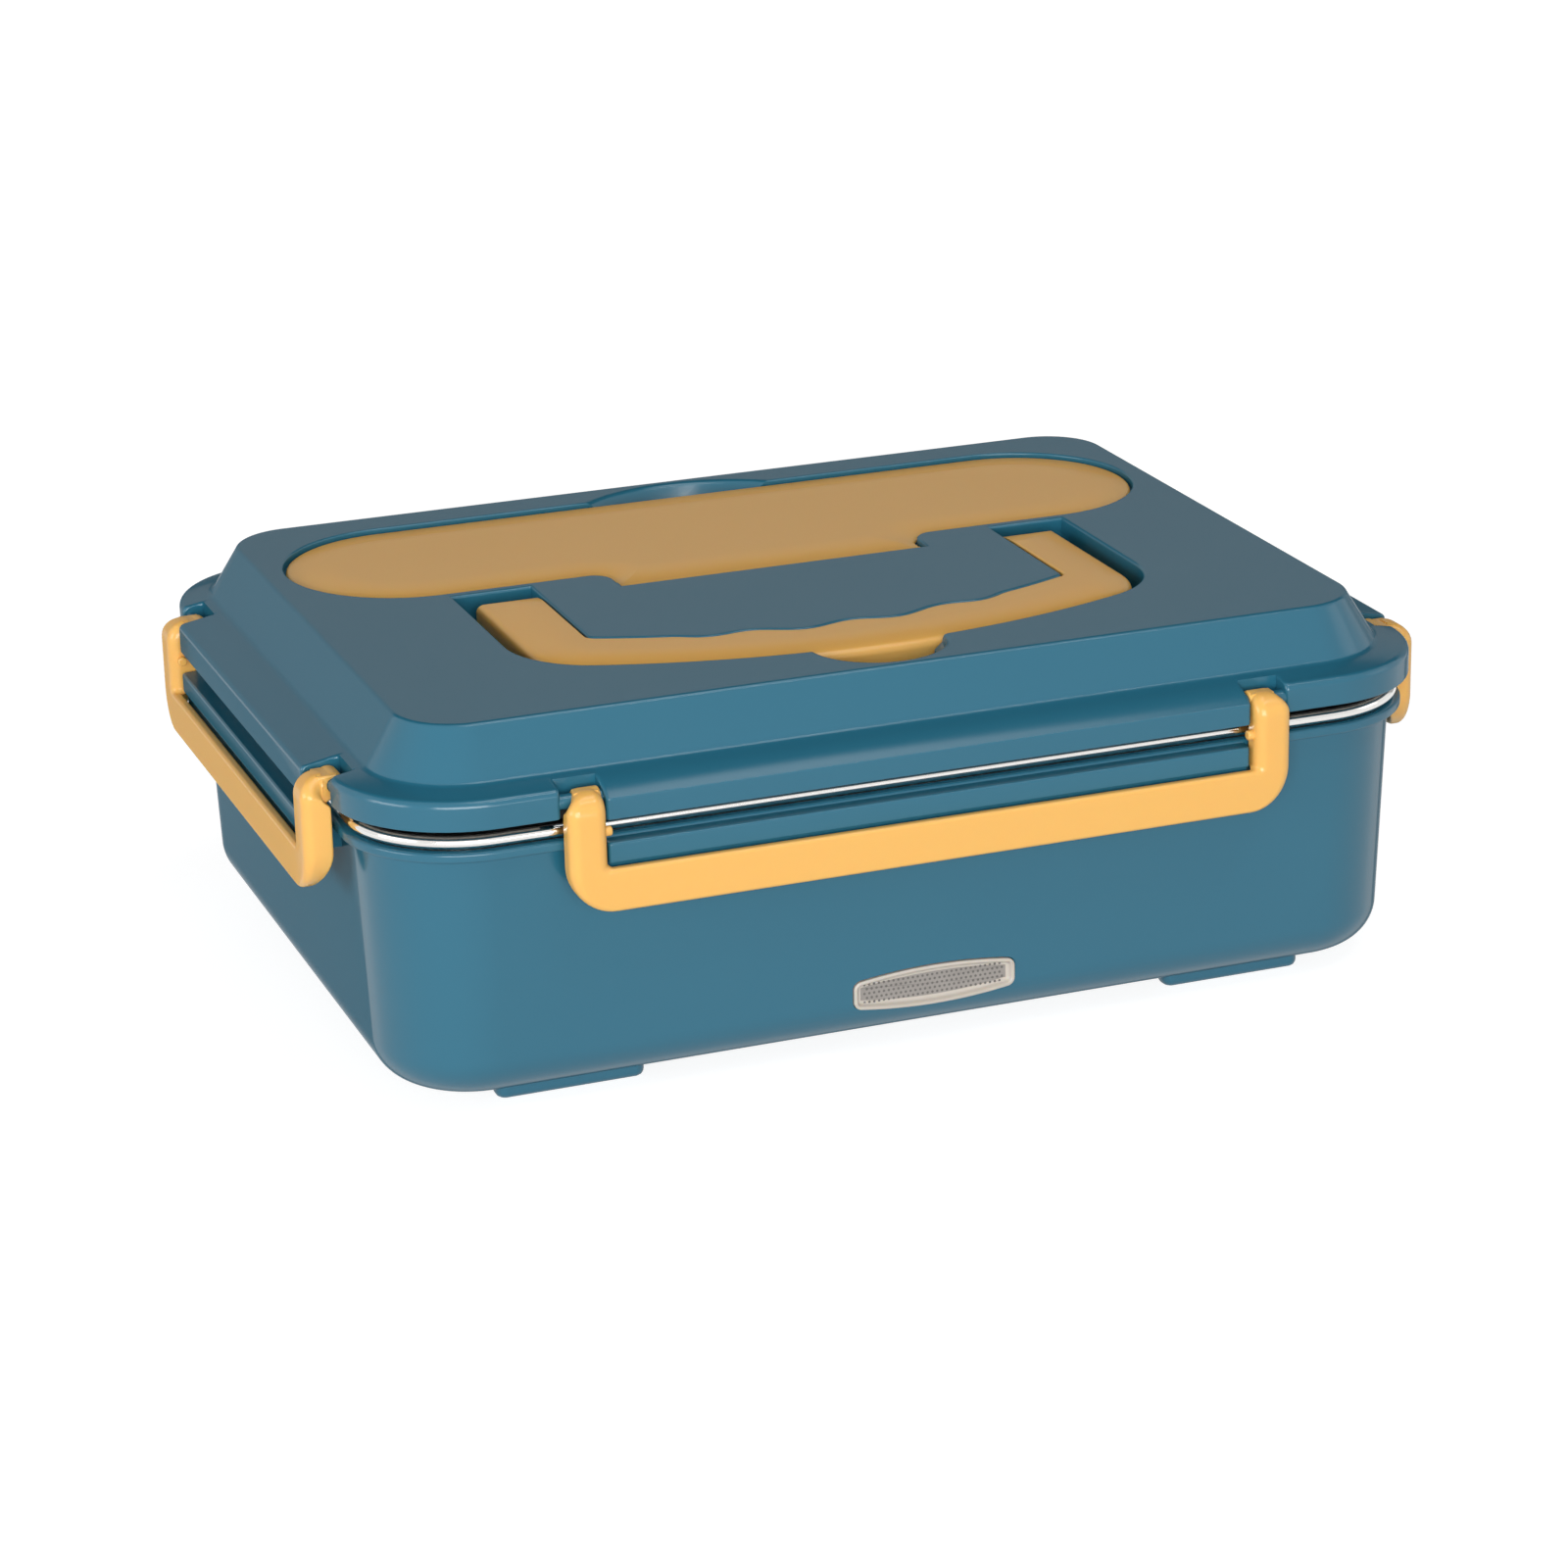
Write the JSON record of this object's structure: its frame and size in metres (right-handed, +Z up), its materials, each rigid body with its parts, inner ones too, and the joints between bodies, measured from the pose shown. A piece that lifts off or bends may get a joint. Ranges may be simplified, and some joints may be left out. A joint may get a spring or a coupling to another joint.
{
  "type": "electric lunch box",
  "caption": "Rectangular heated lunch box: drafted base with heater, lift-out steel container, latched lid with flush folding handle and hinged cutlery cover.",
  "frame": {"origin": "middle of the footprint, on the surface that the feet stand on", "axes": "+X along the long side, towards the inlet; +Y to the back, away from the indicator window; +Z up"},
  "size_m": [0.2416, 0.1806, 0.0791],
  "materials": {
    "teal_plastic": "injection-moulded polypropylene, satin gloss",
    "amber_plastic": "injection-moulded polypropylene, satin gloss",
    "polished_steel": "mirror-polished 304 stainless steel",
    "stainless_sheet": "drawn stainless sheet",
    "screw_steel": "zinc-plated steel",
    "spring_steel": "bright spring steel",
    "cast_aluminium": "pressed aluminium",
    "ceramic_fuse": "glazed",
    "black_plastic": "moulded nylon",
    "brass_pin": "plated",
    "milky_lens": "milky moulded lens with a fine dot texture",
    "circuit_board": "coated board",
    "led_lens": "clear-tinted epoxy",
    "lead_rubber": "silicone insulation",
    "white_plastic": "moulded polypropylene",
    "silicone": "moulded silicone",
    "black_silicone": "moulded silicone"
  },
  "bodies": {
    "base": {"outer_shell": "teal_plastic", "bottom_cover": "teal_plastic", "bottom_screws": "screw_steel", "chamber_liner": "stainless_sheet", "heating_plate": "cast_aluminium", "ptc_heater": "cast_aluminium", "heater_clamp": "spring_steel", "clamp_screws": "screw_steel", "thermal_cutoff": "ceramic_fuse", "power_inlet": "black_plastic", "inlet_pins": "brass_pin", "indicator_window": "milky_lens", "indicator_board": "circuit_board", "indicator_led": "led_lens", "heater_leads": "lead_rubber"},
    "container": {"steel_container": "polished_steel"},
    "lid": {"lid_shell": "teal_plastic", "lid_liner": "white_plastic", "lid_seal": "black_silicone", "handle_pins": "screw_steel", "cover_hinge_pins": "screw_steel"},
    "steam_vent_plug": {"steam_vent_plug": "silicone"},
    "handle": {"handle": "amber_plastic"},
    "cutlery_cover": {"cutlery_cover": "amber_plastic"},
    "latch_front": {"latch_front": "amber_plastic"},
    "latch_back": {"latch_back": "amber_plastic"},
    "latch_left": {"latch_left": "amber_plastic"},
    "latch_right": {"latch_right": "amber_plastic"}
  },
  "joints": [
    {"name": "container_lift", "type": "slide", "parent": "base", "child": "container", "axis": [0, 0, 1], "range_m": [0, 0.06]},
    {"name": "lid_lift", "type": "slide", "parent": "container", "child": "lid", "axis": [0, 0, 1], "range_m": [0, 0.06]},
    {"name": "handle_fold", "type": "hinge", "parent": "lid", "child": "handle", "pos_m": [0, 0, 0.0755], "axis": [1, 0, 0], "range_deg": [-92, 0]},
    {"name": "cover_flip", "type": "hinge", "parent": "lid", "child": "cutlery_cover", "pos_m": [0, 0.003, 0.0766], "axis": [1, 0, 0], "range_deg": [0, 92]},
    {"name": "vent_plug_lift", "type": "slide", "parent": "lid", "child": "steam_vent_plug", "axis": [0, 0, 1], "range_m": [0, 0.003]},
    {"name": "latch_front_swing", "type": "hinge", "parent": "lid", "child": "latch_front", "pos_m": [0, -0.08445, 0.0649], "axis": [-1, 0, 0], "range_deg": [-4, 100]},
    {"name": "latch_back_swing", "type": "hinge", "parent": "lid", "child": "latch_back", "pos_m": [0, 0.08445, 0.0649], "axis": [1, 0, 0], "range_deg": [-4, 100]},
    {"name": "latch_left_swing", "type": "hinge", "parent": "lid", "child": "latch_left", "pos_m": [-0.11345, 0, 0.0649], "axis": [0, 1, 0], "range_deg": [-4, 100]},
    {"name": "latch_right_swing", "type": "hinge", "parent": "lid", "child": "latch_right", "pos_m": [0.11345, 0, 0.0649], "axis": [0, -1, 0], "range_deg": [-4, 100]}
  ]
}
